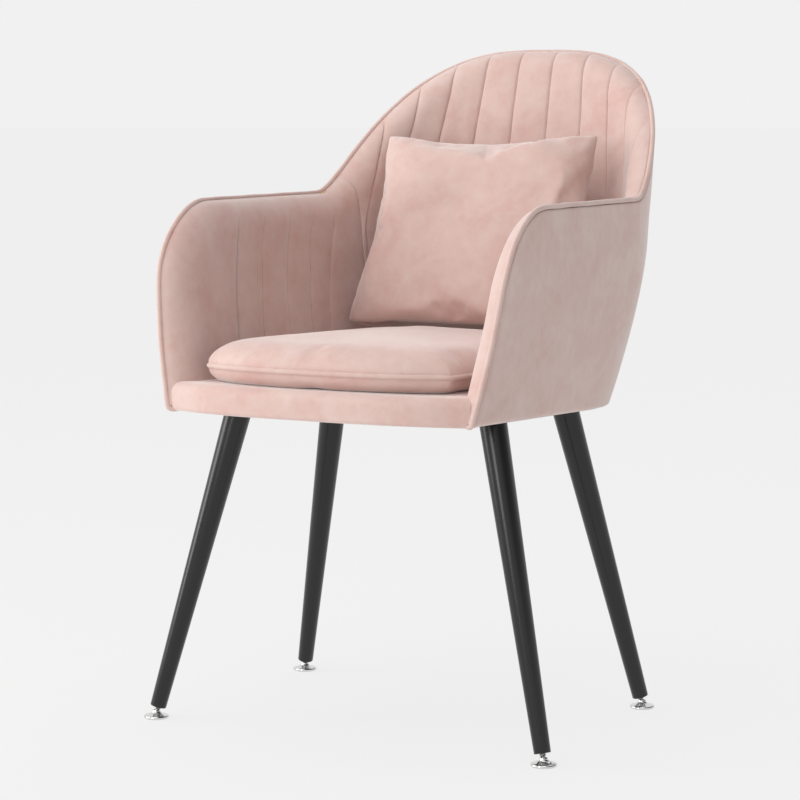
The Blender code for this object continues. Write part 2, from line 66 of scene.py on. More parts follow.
CAMERA_AZIMUTH = math.radians(28.0)
CAMERA_ELEVATION = math.radians(6.35)
CAMERA_DISTANCE = 3.48
CAMERA_TARGET = Vector((-0.010, -0.0735, 0.403))
CAMERA_LENS = 123.98
BACKDROP = "f1f1f1"
DIM_SIDE = 0.10
FLOOR_RADIUS = 60.0
FLOOR_ALBEDO = 0.10
LIGHTS = (
    ("key_light", (-2.6, -1.9, 2.3), (0.0, -0.05, 0.50), (1.4, 1.4), 11.0, "fffdfb"),
    ("top_light", (-0.2, -0.5, 2.9), (0.0, 0.0, 0.45), (2.2, 2.2), 11.0, "ffffff"),
    ("front_light", (-0.5, -3.5, 1.0), (0.0, -0.1, 0.40), (1.2, 1.2), 19.0, "fff9f6"),
    ("side_light", (-2.8, -1.5, 0.9), (0.0, -0.1, 0.38), (1.5, 2.2), 34.0, "fffdfb"),
)


def linear(code):
    """Linear RGBA of an sRGB hex colour."""
    parts = [int(code[k:k + 2], 16) / 255 for k in (0, 2, 4)]
    return (*[c / 12.92 if c <= 0.04045 else ((c + 0.055) / 1.055) ** 2.4 for c in parts], 1.0)


def add_node(tree, kind, inputs=(), **settings):
    """Add a node; inputs pairs a socket's name or number with a value or with the socket it takes."""
    made = tree.nodes.new(kind)
    for name, value in settings.items():
        setattr(made, name, value)
    for socket, value in inputs:
        if isinstance(value, bpy.types.NodeSocket):
            tree.links.new(value, made.inputs[socket])
        else:
            made.inputs[socket].default_value = value
    return made


def new_material(name, values):
    """Material with a Principled shader whose own sockets hold these values."""
    made = bpy.data.materials.new(name)
    made.use_nodes = True
    shader = made.node_tree.nodes["Principled BSDF"]
    for socket, value in values:
        shader.inputs[socket].default_value = value
    return made, made.node_tree, shader


def aim(thing, place, target):
    thing.location = place
    thing.rotation_euler = (Vector(target) - Vector(place)).to_track_quat("-Z", "Y").to_euler()
    bpy.context.scene.collection.objects.link(thing)


camera = bpy.data.objects.new("camera", bpy.data.cameras.new("camera"))
camera.data.lens = CAMERA_LENS
camera_back = Vector((math.sin(CAMERA_AZIMUTH) * math.cos(CAMERA_ELEVATION),
                      -math.cos(CAMERA_AZIMUTH) * math.cos(CAMERA_ELEVATION),
                      math.sin(CAMERA_ELEVATION)))
aim(camera, CAMERA_TARGET + CAMERA_DISTANCE * camera_back, CAMERA_TARGET)
bpy.context.scene.camera = camera
bpy.context.scene.view_settings.view_transform = "Standard"

for light_name, place, target, sides, power, colour in LIGHTS:
    lamp = bpy.data.lights.new(light_name, "AREA")
    lamp.shape = "ELLIPSE"
    lamp.size, lamp.size_y = sides
    lamp.energy = power
    lamp.color = linear(colour)[:3]
    aim(bpy.data.objects.new(light_name, lamp), place, target)

world = bpy.data.worlds.new("studio")
world.use_nodes = True
# The room is dimmer high up on the chair's +X side, so that the outside of that arm lies in soft
# shade; near the horizon it is as pale all round
way = add_node(world.node_tree, "ShaderNodeTexCoord").outputs["Generated"]
sideways = add_node(world.node_tree, "ShaderNodeVectorMath", (
    (0, way), (1, (0.97, 0.25, 0.0))), operation="DOT_PRODUCT")
upward = add_node(world.node_tree, "ShaderNodeSeparateXYZ", (("Vector", way),))
side_share = add_node(world.node_tree, "ShaderNodeMapRange", (
    ("Value", sideways.outputs["Value"]), ("From Min", 0.15), ("From Max", 0.75)),
    interpolation_type="SMOOTHSTEP")
height_share = add_node(world.node_tree, "ShaderNodeMapRange", (
    ("Value", upward.outputs["Z"]), ("From Min", 0.12), ("From Max", 0.28)),
    interpolation_type="SMOOTHSTEP")
shade = add_node(world.node_tree, "ShaderNodeMath", (
    (0, side_share.outputs["Result"]), (1, height_share.outputs["Result"])),
    operation="MULTIPLY")
dimming = add_node(world.node_tree, "ShaderNodeMapRange", (
    ("Value", shade.outputs["Value"]), ("To Min", 1.0), ("To Max", DIM_SIDE)))
backdrop = world.node_tree.nodes["Background"]
backdrop.inputs["Color"].default_value = linear(BACKDROP)
world.node_tree.links.new(dimming.outputs["Result"], backdrop.inputs["Strength"])
bpy.context.scene.world = world

# The sweep's paper glows a little, so that it is as pale far away as it is under the lights
sweep_paper, _, sweep_shader = new_material("matt_sweep_paper", (
    ("Base Color", (FLOOR_ALBEDO, FLOOR_ALBEDO, FLOOR_ALBEDO, 1)),
    ("Roughness", 1.0),
    ("Specular IOR Level", 0.0),
    ("Emission Color", linear(BACKDROP)),
    ("Emission Strength", 1.0 - FLOOR_ALBEDO),
))
floor_bm = bmesh.new()
bmesh.ops.create_circle(floor_bm, cap_ends=True, segments=96, radius=FLOOR_RADIUS)
floor_mesh = bpy.data.meshes.new("floor")
floor_bm.to_mesh(floor_mesh)
floor_bm.free()
floor_mesh.materials.append(sweep_paper)
floor = bpy.data.objects.new("floor", floor_mesh)
bpy.context.scene.collection.objects.link(floor)
floor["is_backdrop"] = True


# ---- Outer cover ----
# One tight skin of polyester velvet round the outside of the moulded shell, glued down and turned
# under its bottom edge. Short upright pile: pale where light grazes it, salmon where it is seen
# along the pile, with soft cloudy marks where the nap has been stroked.

VELVET_DEEP = "cca49b"
VELVET_MAIN = "d3b7af"
VELVET_PALE = "dac4bd"
VELVET_SHEEN = "f1efee"
NAP_CLOUD = 0.060  # size of the stroked patches
NAP_STREAK = 0.014
PILE = 0.0016  # tufts of pile, drawn about three times coarser than real so that they show

ARM_HEIGHT = 0.651
BACK_HEIGHT = 0.840
HALF_WIDTH = 0.240
FLARE = 0.030
FLARE_TOP = 0.600
FLARE_POWER = 1.6
BACK_Y = 0.2900
RECLINE = 0.25
SIDE_END_Y = 0.0265
CORNER_POWER = 3.0
SWEEP = 0.345
SWEEP_POWER = 3.0
FRONT_Y = -0.3035
FRONT_RAKE = 0.15
ARM_CORNER_RADIUS = 0.100
BASE_Z = 0.403
BASE_FALL = 0.040
COVER_TURN = 0.007  # radius at which the cover turns under the shell
COVER_CLOTH = 0.0026


def velvet(name, scale=1.0):
    """Velvet with cloudy nap; scale widens the clouds on large plain pieces."""
    made, tree, shader = new_material(name, (
        ("Roughness", 0.92),
        ("Specular IOR Level", 0.12),
        ("Sheen Weight", 0.90),
        ("Sheen Roughness", 0.42),
        ("Sheen Tint", linear(VELVET_SHEEN)),
    ))
    place = add_node(tree, "ShaderNodeTexCoord").outputs["Object"]
    cloud = add_node(tree, "ShaderNodeTexNoise", (
        ("Vector", place), ("Scale", 1 / (NAP_CLOUD * scale)), ("Detail", 3.0),
        ("Roughness", 0.55), ("Distortion", 0.6)))
    streak = add_node(tree, "ShaderNodeTexNoise", (
        ("Vector", place), ("Scale", 1 / NAP_STREAK), ("Detail", 4.0), ("Roughness", 0.6)))
    pile = add_node(tree, "ShaderNodeTexNoise", (
        ("Vector", place), ("Scale", 1 / PILE), ("Detail", 2.0), ("Roughness", 0.7)))
    marks = add_node(tree, "ShaderNodeMix", (
        ("Factor", 0.38), ("A", cloud.outputs["Fac"]), ("B", streak.outputs["Fac"])))
    grain = add_node(tree, "ShaderNodeMix", (
        ("Factor", 0.16), ("A", marks.outputs["Result"]), ("B", pile.outputs["Fac"])))
    tones = add_node(tree, "ShaderNodeValToRGB", (("Fac", grain.outputs["Result"]),))
    ramp = tones.color_ramp.elements
    ramp[0].position = 0.28
    ramp[0].color = linear(VELVET_DEEP)
    ramp[1].position = 0.72
    ramp[1].color = linear(VELVET_PALE)
    middle = ramp.new(0.50)
    middle.color = linear(VELVET_MAIN)
    bump = add_node(tree, "ShaderNodeBump", (
        ("Strength", 0.30), ("Distance", 0.0006), ("Height", pile.outputs["Fac"])))
    tree.links.new(tones.outputs["Color"], shader.inputs["Base Color"])
    tree.links.new(bump.outputs["Normal"], shader.inputs["Normal"])
    return made


shell_velvet = velvet("dusty_pink_velvet")


def finish(bm, name, material, body, replaced=(), smooth=True):
    """Make a bmesh an object that rides on a body and stands for the CAD nodes it replaces."""
    mesh = bpy.data.meshes.new(name)
    bm.to_mesh(mesh)
    bm.free()
    return finish_mesh(mesh, name, material, body, replaced, smooth)


def finish_mesh(mesh, name, material, body, replaced=(), smooth=True):
    mesh.materials.clear()
    mesh.materials.append(material)
    if smooth:
        mesh.shade_smooth()
    made = bpy.data.objects.new(name, mesh)
    bpy.context.scene.collection.objects.link(made)
    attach(made, body)
    if replaced:
        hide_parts(*replaced)
    return made


def base_z(y):
    """Height of the shell's bottom edge, which falls towards the back."""
    return BASE_Z - BASE_FALL * (y - FRONT_Y)


def front_y(z):
    return FRONT_Y + FRONT_RAKE * (z - BASE_Z)


def narrowing(z):
    below = np.maximum(0.0, FLARE_TOP - z) / (FLARE_TOP - BASE_Z)
    return FLARE * below**FLARE_POWER


def corner_xy(angle, z):
    """Rear quarter of the outer surface: angle 0 is the middle of the back."""
    half = HALF_WIDTH - narrowing(z)
    reach = BACK_Y + RECLINE * (z - ARM_HEIGHT) - narrowing(z) - SIDE_END_Y
    power = 2 / CORNER_POWER
    x = half * np.abs(np.sin(angle)) ** power
    return x, SIDE_END_Y + reach * np.abs(np.cos(angle)) ** power


# Distance round the rear quarter at arm height, against the angle
ease = np.linspace(0, 1, 1500) ** 1.5
CORNER_ANGLES = math.pi / 2 * ease / (ease + ease[::-1])
quarter_x, quarter_y = corner_xy(CORNER_ANGLES, ARM_HEIGHT)
steps = np.hypot(np.diff(quarter_x), np.diff(quarter_y))
CORNER_RUN = np.concatenate(([0.0], np.cumsum(steps)))
CORNER_LENGTH = CORNER_RUN[-1]
CORNER_CENTRE_Z = ARM_HEIGHT - ARM_CORNER_RADIUS
CORNER_CENTRE_Y = front_y(CORNER_CENTRE_Z) + ARM_CORNER_RADIUS
SIDE_LENGTH = SIDE_END_Y - front_y(CORNER_CENTRE_Z)
HALF_LENGTH = CORNER_LENGTH + SIDE_LENGTH


def outer_surface(run, z):
    """Points of the outer surface at distances round it from the middle of the back."""
    side = np.where(run < 0, -1.0, 1.0)
    run = np.abs(run)
    x, y = corner_xy(np.interp(run, CORNER_RUN, CORNER_ANGLES), z)
    share = (run - CORNER_LENGTH) / SIDE_LENGTH
    on_side = share > 0
    x = np.where(on_side, HALF_WIDTH - narrowing(z), x)
    y = np.where(on_side, SIDE_END_Y + (front_y(z) - SIDE_END_Y) * share, y)
    return np.stack([side * x, y, z + 0 * x], axis=-1)


def shell_points(run, z, depth):
    """Points under the outer surface, measured square to it."""
    run = np.asarray(run, float)
    z = np.asarray(z, float)
    step = 0.0008
    along = outer_surface(run + step, z) - outer_surface(run - step, z)
    rise = outer_surface(run, z + step) - outer_surface(run, z - step)
    normal = np.cross(along, rise)
    normal /= np.linalg.norm(normal, axis=-1, keepdims=True)
    spot = outer_surface(run, z)
    outward = spot - np.array([0.0, SIDE_END_Y, 0.0])
    facing = np.sign(normal[..., 0] * outward[..., 0] + normal[..., 1] * outward[..., 1])
    return spot - normal * (facing * depth)[..., None]


def rim_height(run):
    """Height of the rim: arched back, hollow sweep, level arm, round front corner."""
    run = np.abs(np.asarray(run, float))
    rise = (1 - np.minimum(1.0, run / SWEEP) ** SWEEP_POWER) ** 2
    y = SIDE_END_Y - (run - CORNER_LENGTH)
    reach = np.clip(CORNER_CENTRE_Y - y, 0.0, ARM_CORNER_RADIUS)
    arc = CORNER_CENTRE_Z + np.sqrt(ARM_CORNER_RADIUS**2 - reach**2)
    return np.where(run < CORNER_LENGTH, ARM_HEIGHT + (BACK_HEIGHT - ARM_HEIGHT) * rise, arc)


def foot_height(run):
    """Height of the shell's bottom edge."""
    z = np.full_like(np.asarray(run, float), BASE_Z)
    for _ in range(3):
        z = base_z(outer_surface(run, z)[..., 1])
    return z


def grid_sheet(columns, rows):
    """Closed two-sided sheet of a grid; returns it with each vertex's column, row and side."""
    bm = bmesh.new()
    bmesh.ops.create_grid(bm, x_segments=columns - 1, y_segments=rows - 1, size=0.5)
    both = bmesh.ops.extrude_face_region(bm, geom=bm.faces[:], use_keep_orig=True)
    lifted = [item for item in both["geom"] if isinstance(item, bmesh.types.BMVert)]
    bmesh.ops.translate(bm, verts=lifted, vec=(0, 0, 1))
    spots = np.array([vert.co for vert in bm.verts])
    column = np.rint((spots[:, 0] + 0.5) * (columns - 1)).astype(int)
    row = np.rint((spots[:, 1] + 0.5) * (rows - 1)).astype(int)
    return bm, column, row, spots[:, 2] > 0.5


def place_verts(bm, points):
    """Move every vertex, then turn the faces out."""
    for vert, point in zip(bm.verts, points):
        vert.co = point
    bmesh.ops.recalc_face_normals(bm, faces=bm.faces)
    if bm.calc_volume(signed=True) < 0:
        bmesh.ops.reverse_faces(bm, faces=bm.faces)


def wander(points, size, height):
    """Smooth unevenness of hand work: the same for the same place, in metres."""
    return np.array([noise.noise(Vector(point) / size) for point in points]) * height


cover_turn = [(1 - math.cos(angle), math.sin(angle))
              for angle in np.linspace(-math.pi / 2, math.pi / 2, 9)]
cover_columns = np.linspace(-HALF_LENGTH, HALF_LENGTH, 261)
cover_low = foot_height(cover_columns)
cover_high = rim_height(cover_columns)
CURL = 0.0045  # how the cloth rounds over into the piping seam
low_steps = np.linspace(0, math.pi / 2, 7)
cover_depth = np.concatenate((
    [0.013], COVER_TURN * (1 - np.sin(low_steps)), np.zeros(44), [0.0002, 0.0008, 0.0017]))
cover_share = np.concatenate((np.zeros(8), np.linspace(0.02, 0.985, 44), [0.99, 0.996, 1.0]))
cover_lift = np.concatenate((
    [0.0], COVER_TURN * (1 - np.cos(low_steps)), np.full(47, COVER_TURN)))
cover_bm, column, row, inner = grid_sheet(len(cover_columns), len(cover_share))
cover_z = (cover_low[column] + cover_lift[row]
           + (cover_high[column] - cover_low[column] - COVER_TURN) * cover_share[row])
front_gap = HALF_LENGTH - np.abs(cover_columns[column])
front_curl = 0.0018 * np.clip(1 - front_gap / CURL, 0, 1) ** 2
cover_spots = outer_surface(cover_columns[column], cover_z)
cover_wave = wander(cover_spots, 0.07, 0.0009)
depth = cover_depth[row] + front_curl + cover_wave + 0.0006 + np.where(inner, COVER_CLOTH, 0.0)
place_verts(cover_bm, shell_points(cover_columns[column], cover_z, np.maximum(depth, 0)))
outer_cover = finish(cover_bm, "outer_cover_velvet", shell_velvet, "root",
                     ("outer_cover",))


# ---- Back pad and arm pads ----
# Velvet quilted to 20 mm foam: sewn channels, stuffed full, drawn over the shell's rim and stapled
# beneath the piping. Ten upright seams on the back fan out a little towards the seat; five seams
# on each arm stop short of the rim, and the front of each arm is one plain soft roll.

PAD_START = 0.0040  # depth at which the pad comes out of the piping seam
PAD_RISE = 0.0032  # how far the stuffed edge stands over the rim
PAD_FULL = 0.0338
PAD_BACK = 0.0108
PAD_FOOT = 0.0295  # above the shell's bottom edge, pressed a little into the seat deck
NOSE_DROP = 0.026  # beside the round front of the deck the pad reaches this much lower
NOSE_REACH = (0.655, 0.690)
PAD_ROLL = 0.034
FRONT_ROLL = 0.046
BACK_SEAMS = (0.025, 0.075, 0.125, 0.175, 0.225)
BACK_FAN = 0.35
FAN_POWER = 1.5
ARM_SEAMS = (0.333, 0.394, 0.457, 0.524, 0.591)
ARM_SLANT = 0.16
SIDE_SEAM_TOP = 0.673  # where the seam between arm and back pads meets the rim
CHANNEL_FULLNESS = 0.0034
CHANNEL_SHOULDER = 0.017
CREASE = 0.0008
CREASE_WIDTH = 0.0013
PAD_PRESS = 0.0003  # how far the back pad and the arm pads press into each other at their seam

rim_run = np.concatenate((np.linspace(0, CORNER_LENGTH, 400),
                          CORNER_LENGTH + np.linspace(0.001, SIDE_LENGTH - ARM_CORNER_RADIUS, 80)))
arc = np.linspace(0, math.pi / 2, 90)[1:]
arc_run = HALF_LENGTH - ARM_CORNER_RADIUS * (1 - np.sin(arc))
drop = np.linspace(0.002, 0.16, 80)
RIM_RUN = np.concatenate((rim_run, arc_run, np.full(80, HALF_LENGTH)))
RIM_Z = np.concatenate((rim_height(rim_run), CORNER_CENTRE_Z + ARM_CORNER_RADIUS * np.cos(arc),
                        CORNER_CENTRE_Z - drop))


def flat_run(run, z):
    """Distance round the surface at its own height, on the straight sides."""
    y = outer_surface(run, z)[..., 1]
    run = np.abs(run)
    return np.where(run > CORNER_LENGTH, CORNER_LENGTH + SIDE_END_Y - y, run)


RIM_FLAT = flat_run(RIM_RUN, RIM_Z)
rim_slope_run = np.gradient(RIM_FLAT)
rim_slope_z = np.gradient(RIM_Z)
rim_slope = np.hypot(rim_slope_run, rim_slope_z)
RIM_OUT_RUN = -rim_slope_z / rim_slope
RIM_OUT_Z = rim_slope_run / rim_slope


def rim_distance(run, z):
    """Distance to the rim, with the way out across it, in the unrolled surface."""
    flat = flat_run(run, z)
    off_run = flat[:, None] - RIM_FLAT[None, :]
    off_z = z[:, None] - RIM_Z[None, :]
    near = np.argmin(np.hypot(off_run, off_z), axis=1)
    picked = np.arange(len(near))
    inside = -off_run[picked, near] * RIM_OUT_RUN[near] - off_z[picked, near] * RIM_OUT_Z[near]
    return np.maximum(0.0, inside), RIM_OUT_RUN[near], RIM_OUT_Z[near]


def arm_back_seam(z):
    """Where the arm pad meets the back pad, round the surface from the middle of the back."""
    z = np.minimum(z, SIDE_SEAM_TOP)
    return 0.258 + 0.24 * (z - 0.55) + 5.0 * np.maximum(0.0, z - 0.62) ** 2


def back_seam(number):
    """One seam of the back pad, as a function of height; negative numbers are on the right."""
    start = BACK_SEAMS[abs(number) - 1]
    fan = BACK_FAN * (start / BACK_SEAMS[-1]) ** FAN_POWER
    room = 0.007 * (len(BACK_SEAMS) + 1 - abs(number))

    def seam(z):
        free = start + fan * np.maximum(0.0, rim_height(start) - z)
        return math.copysign(1, number) * np.minimum(free, arm_back_seam(z) - room)

    return seam


def arm_seam(start):
    def seam(z):
        share = max(0.0, (start - CORNER_LENGTH) / SIDE_LENGTH)
        return start + ARM_SLANT * (1 - share) * (rim_height(start) - z)

    return seam


def seam_top(seam):
    """Distance round the surface at which a seam reaches the rim."""
    run = seam(np.array(ARM_HEIGHT))
    for _ in range(12):
        run = seam(rim_height(run))
    return float(run)


def smooth_step(value, low, high):
    share = np.clip((value - low) / (high - low), 0, 1)
    return share * share * (3 - 2 * share)


near_seam = np.array([0.0, 0.010, 0.024, 0.045, 0.075, 0.12, 0.18, 0.26, 0.36, 0.46])
ACROSS = np.concatenate((near_seam, 1 - near_seam[::-1]))
FRONT_ACROSS = np.concatenate((near_seam[:-1], np.sin(np.linspace(0.42, math.pi / 2, 30))))
DOWN = np.array([0.0, 0.0008, 0.0018, 0.0032, 0.005, 0.0075, 0.011, 0.015, 0.020, 0.026, 0.033])


def channel_pad(name, seams, rows, stop_short, replaced, last_cell=ACROSS):
    """Quilted pad between its first and last seam lines, with a crease at each seam between them."""
    tops = [seam_top(seam) for seam in seams]
    cells = len(seams) - 1
    spacing = [ACROSS] * (cells - 1) + [last_cell]
    fractions = np.concatenate([shares[:-1] for shares in spacing] + [[1.0]])
    cell = np.repeat(np.arange(cells), [len(shares) - 1 for shares in spacing])
    cell = np.concatenate((cell, [cells - 1]))
    bm, column, row, behind = grid_sheet(len(fractions), rows)
    share = fractions[column]
    first = cell[column]
    top_run = np.array([tops[k] for k in first]) * (1 - share)
    top_run += np.array([tops[k + 1] for k in first]) * share

    def height(start):
        """Height of each vertex's row on a line that starts from the rim there."""
        high = rim_height(start)
        low = foot_height(start) + PAD_FOOT - NOSE_DROP * smooth_step(np.abs(start), *NOSE_REACH)
        extra = np.maximum(0, row - len(DOWN) + 1) / (rows - len(DOWN))
        return high - DOWN[np.minimum(row, len(DOWN) - 1)] - (high - DOWN[-1] - low) * extra

    z = height(top_run)
    left = np.zeros(len(z))
    right = np.zeros(len(z))
    for k in range(cells):
        chosen = first == k
        left[chosen] = seams[k](height(np.full(len(z), tops[k]))[chosen])
        right[chosen] = seams[k + 1](height(np.full(len(z), tops[k + 1]))[chosen])
    run = left * (1 - share) + right * share
    width = np.abs(right - left)
    distance, out_run, out_z = rim_distance(run, z)
    roll = PAD_ROLL + (FRONT_ROLL - PAD_ROLL) * smooth_step(np.abs(run), 0.60, 0.70)
    over = 1 - np.minimum(1.0, distance / roll)
    depth = PAD_START + (PAD_FULL - PAD_START) * np.sqrt(1 - over**2)
    at_seam = np.minimum(share, 1 - share) * width
    front_half = (np.abs(run) > ARM_SEAMS[-1]) & (share > 0.5)
    at_seam = np.where(front_half, 1.0, at_seam)
    fullness = np.minimum(CHANNEL_FULLNESS, 0.13 * width)
    shoulder = np.minimum(CHANNEL_SHOULDER, width / 2)
    hollow = 1 - np.sqrt(1 - (1 - np.minimum(1.0, at_seam / shoulder)) ** 2)
    crease = CREASE * np.exp(-(at_seam / CREASE_WIDTH) ** 2)
    sewn = smooth_step(distance, *stop_short)
    depth -= sewn * (fullness * hollow + crease * np.minimum(1.0, width / 0.02))
    spots = outer_surface(run, z)
    depth += wander(spots, 0.055, 0.0016) * smooth_step(distance, 0.004, 0.03)
    bulge = PAD_RISE * np.sqrt(np.maximum(0, 1 - (distance / 0.030) ** 2))
    bulge = np.where(behind, 0.0005, bulge)
    depth = np.where(behind, PAD_BACK, depth)
    side = np.where(run < 0, -1.0, 1.0)
    points = shell_points(run + side * out_run * bulge, z + out_z * bulge, depth)
    place_verts(bm, points)
    return finish(bm, name, shell_velvet, "root", replaced)


numbers = list(range(-len(BACK_SEAMS), 0)) + list(range(1, len(BACK_SEAMS) + 1))
back_lines = [back_seam(number) for number in numbers]
back_lines = [lambda z: -arm_back_seam(z) - PAD_PRESS] + back_lines
back_lines += [lambda z: arm_back_seam(z) + PAD_PRESS]
back_pad = channel_pad("back_pad_channels", back_lines, 74, (-0.02, 0.024), ("back_pad",))

arm_lines = [lambda z: arm_back_seam(z) - PAD_PRESS] + [arm_seam(start) for start in ARM_SEAMS]
arm_lines.append(lambda z: HALF_LENGTH + 0 * z)
mirrored = [lambda z, seam=seam: -seam(z) for seam in arm_lines]
for arm_side, lines in (("left", arm_lines), ("right", mirrored)):
    pad = channel_pad(f"{arm_side}_arm_pad_channels", lines, 52, (0.016, 0.040),
                      (f"{arm_side}_arm_pad",), FRONT_ACROSS)


# ---- Rim piping ----
# Velvet-covered cord, 6.4 mm thick, sewn into the seam between the outer cover and the pads. It
# runs up the front of one arm, round the whole rim and down the other, and its ends tuck under.

PIPING_RADIUS = 0.0032
PIPING_DEPTH = 0.0036
PIPING_RISE = 0.0036
PIPING_STEP = 0.0035


def cord_tube(points, radius, name, material, body, replaced, closed=False, sides=12):
    """Round tube swept along points as a bevelled curve, then made into a mesh."""
    curve = bpy.data.curves.new(name, "CURVE")
    curve.dimensions = "3D"
    curve.bevel_depth = radius
    curve.bevel_resolution = sides // 4
    curve.use_fill_caps = not closed
    curve.twist_mode = "MINIMUM"
    spline = curve.splines.new("POLY")
    spline.points.add(len(points) - 1)
    spline.points.foreach_set("co", np.column_stack((points, np.ones(len(points)))).ravel())
    spline.use_cyclic_u = closed
    holder = bpy.data.objects.new(name, curve)
    bpy.context.scene.collection.objects.link(holder)
    mesh = bpy.data.meshes.new_from_object(holder.evaluated_get(
        bpy.context.evaluated_depsgraph_get()))
    bpy.data.objects.remove(holder)
    return finish_mesh(mesh, name, material, body, replaced)


def even_points(points, step):
    """The same path with points a step apart."""
    lengths = np.concatenate(([0], np.cumsum(np.linalg.norm(np.diff(points, axis=0), axis=1))))
    wanted = np.linspace(0, lengths[-1], max(2, round(lengths[-1] / step) + 1))
    return np.column_stack([np.interp(wanted, lengths, points[:, k]) for k in range(3)])


edge_foot = foot_height(np.array([HALF_LENGTH]))[0]
on_rim = RIM_Z > edge_foot + 0.004
half_rim = shell_points(RIM_RUN[on_rim] + RIM_OUT_RUN[on_rim] * PIPING_RISE,
                        RIM_Z[on_rim] + RIM_OUT_Z[on_rim] * PIPING_RISE,
                        np.full(on_rim.sum(), PIPING_DEPTH))
tuck = half_rim[-1] + np.array([(-0.0006, 0.0, -0.003), (-0.0026, 0.001, -0.0052),
                                (-0.006, 0.003, -0.0058), (-0.012, 0.008, -0.0050)])
half_rim = np.concatenate((half_rim, tuck))
other_half = half_rim[::-1] * np.array([-1.0, 1.0, 1.0])
piping_path = even_points(np.concatenate((other_half, half_rim[1:])), PIPING_STEP)
piping_path += np.column_stack([wander(piping_path + shift, 0.03, 0.0005) for shift in (0, 5, 9)])
cord_tube(piping_path, PIPING_RADIUS, "rim_piping_velvet", shell_velvet, "root",
          ("rim_piping",))


# ---- Seat deck and front rail ----
# Foam over the plywood board under one velvet cover: a flat deck beneath the loose cushion, with a
# full round nose along the front that bows out between the arms.

DECK_DEPTH = 0.0112
DECK_TOP = 0.0355
DECK_BOW = 0.034
BOW_POWER = 3.0
DECK_CLOTH = 0.0018
NOSE_FLANGE = 0.0050  # how far the nose laps over the front edges of the plywood shell
NOSE_PROUD = 0.0030


def plan_ring(inset_depth, bow, inset, flange=0.0, room=0.004, back_points=90, front_points=48):
    """Plan outline inside the shell at its bottom edge, closed by a bowed front; room keeps the
    sides' points clear of the rounding at the front corners."""
    runs = np.linspace(HALF_LENGTH, -HALF_LENGTH, back_points * 2)
    ring = shell_points(runs, foot_height(runs), np.full(len(runs), inset_depth))
    half = ring[0][0] + flange
    front = ring[0][1] + inset
    sides = [(x, y) for x, y, _ in ring if y > front + room]
    xs = np.linspace(-half, half, front_points + 1)
    front -= flange * 0.12
    nose = [(x, front - bow * (1 - (abs(x) / half) ** BOW_POWER)) for x in xs]
    return sides + nose


def deck_z(y, height):
    """Height over the sloping base plane."""
    return base_z(y) + height


deck_ring = plan_ring(DECK_DEPTH, DECK_BOW + NOSE_PROUD, 0.0, NOSE_FLANGE, 0.024)
deck_bm = bmesh.new()
deck_bm.faces.new([deck_bm.verts.new((x, y, 0)) for x, y in deck_ring])
raised = bmesh.ops.extrude_face_region(deck_bm, geom=deck_bm.faces[:], use_keep_orig=True)
deck_top = [item for item in raised["geom"] if isinstance(item, bmesh.types.BMVert)]
bmesh.ops.translate(deck_bm, verts=deck_top, vec=(0, 0, DECK_TOP))
nose_back = deck_ring[-1][1] + 0.0002
for level, rounding in ((0.0, 0.0055), (DECK_TOP, 0.0150)):
    nose_edges = [edge for edge in deck_bm.edges
                  if all(abs(vert.co.z - level) < 1e-6 and vert.co.y < nose_back
                         for vert in edge.verts)]
    bmesh.ops.bevel(deck_bm, geom=nose_edges, offset=rounding, segments=7, affect="EDGES",
                    profile=0.5, material=-1)
under = [face for face in deck_bm.faces if len(face.verts) > 40
         and face.calc_center_median().z < DECK_TOP / 2]
bmesh.ops.delete(deck_bm, geom=under, context="FACES")
bmesh.ops.recalc_face_normals(deck_bm, faces=deck_bm.faces)
for vert in deck_bm.verts:
    vert.co.z = deck_z(vert.co.y, vert.co.z)
seat_deck = finish(deck_bm, "seat_deck_velvet", shell_velvet, "root",
                   ("seat_base_cover",))
cloth_wall = seat_deck.modifiers.new("cloth", "SOLIDIFY")
cloth_wall.thickness = DECK_CLOTH
cloth_wall.offset = -1
seat_deck.data.set_sharp_from_angle(angle=math.radians(50))


# ---- Seat cushion and its welt ----
# Loose cushion: a high-loft foam block in a velvet case of two crowned panels, sewn together at
# mid height with a velvet-covered welt. It lies on the deck and fills the space between the arms.

CUSHION_DEPTH = 0.0405
CUSHION_BOW = 0.044
CUSHION_INSET = 0.020
WELT_HEIGHT = 0.0560
CUSHION_FOOT = 0.0366
CUSHION_EDGE_TOP = 0.0830
CUSHION_CROWN = 0.0125
CUSHION_VOXEL = 0.0050
WELT_RADIUS = 0.0030


def simulated(made, pressure, frames, cap, shrink=0.0, pins=None, stiffness=15.0):
    """Blow a closed cloth up for some frames, apply it, and hold each point within cap of its start."""
    start = np.array([vert.co for vert in made.data.vertices])
    cloth = made.modifiers.new("cloth", "CLOTH")
    settings = cloth.settings
    settings.use_pressure = True
    settings.uniform_pressure_force = pressure
    settings.effector_weights.gravity = 0
    settings.tension_stiffness = stiffness
    settings.compression_stiffness = stiffness
    settings.shear_stiffness = stiffness / 3
    settings.bending_stiffness = 0.4
    settings.shrink_min = shrink
    settings.quality = 6
    if pins:
        settings.vertex_group_mass = pins
    cloth.point_cache.frame_start = 1
    cloth.point_cache.frame_end = frames
    for step in range(1, frames + 1):
        bpy.context.scene.frame_set(step)
    ready = made.evaluated_get(bpy.context.evaluated_depsgraph_get())
    ended = np.array([vert.co for vert in ready.data.vertices])
    made.modifiers.remove(cloth)
    bpy.context.scene.frame_set(1)
    move = ended - start
    size = np.linalg.norm(move, axis=1, keepdims=True)
    move *= np.minimum(1.0, cap / np.maximum(size, 1e-9))
    return start + move


def set_points(mesh, points):
    mesh.vertices.foreach_set("co", np.asarray(points, float).ravel())
    mesh.update()


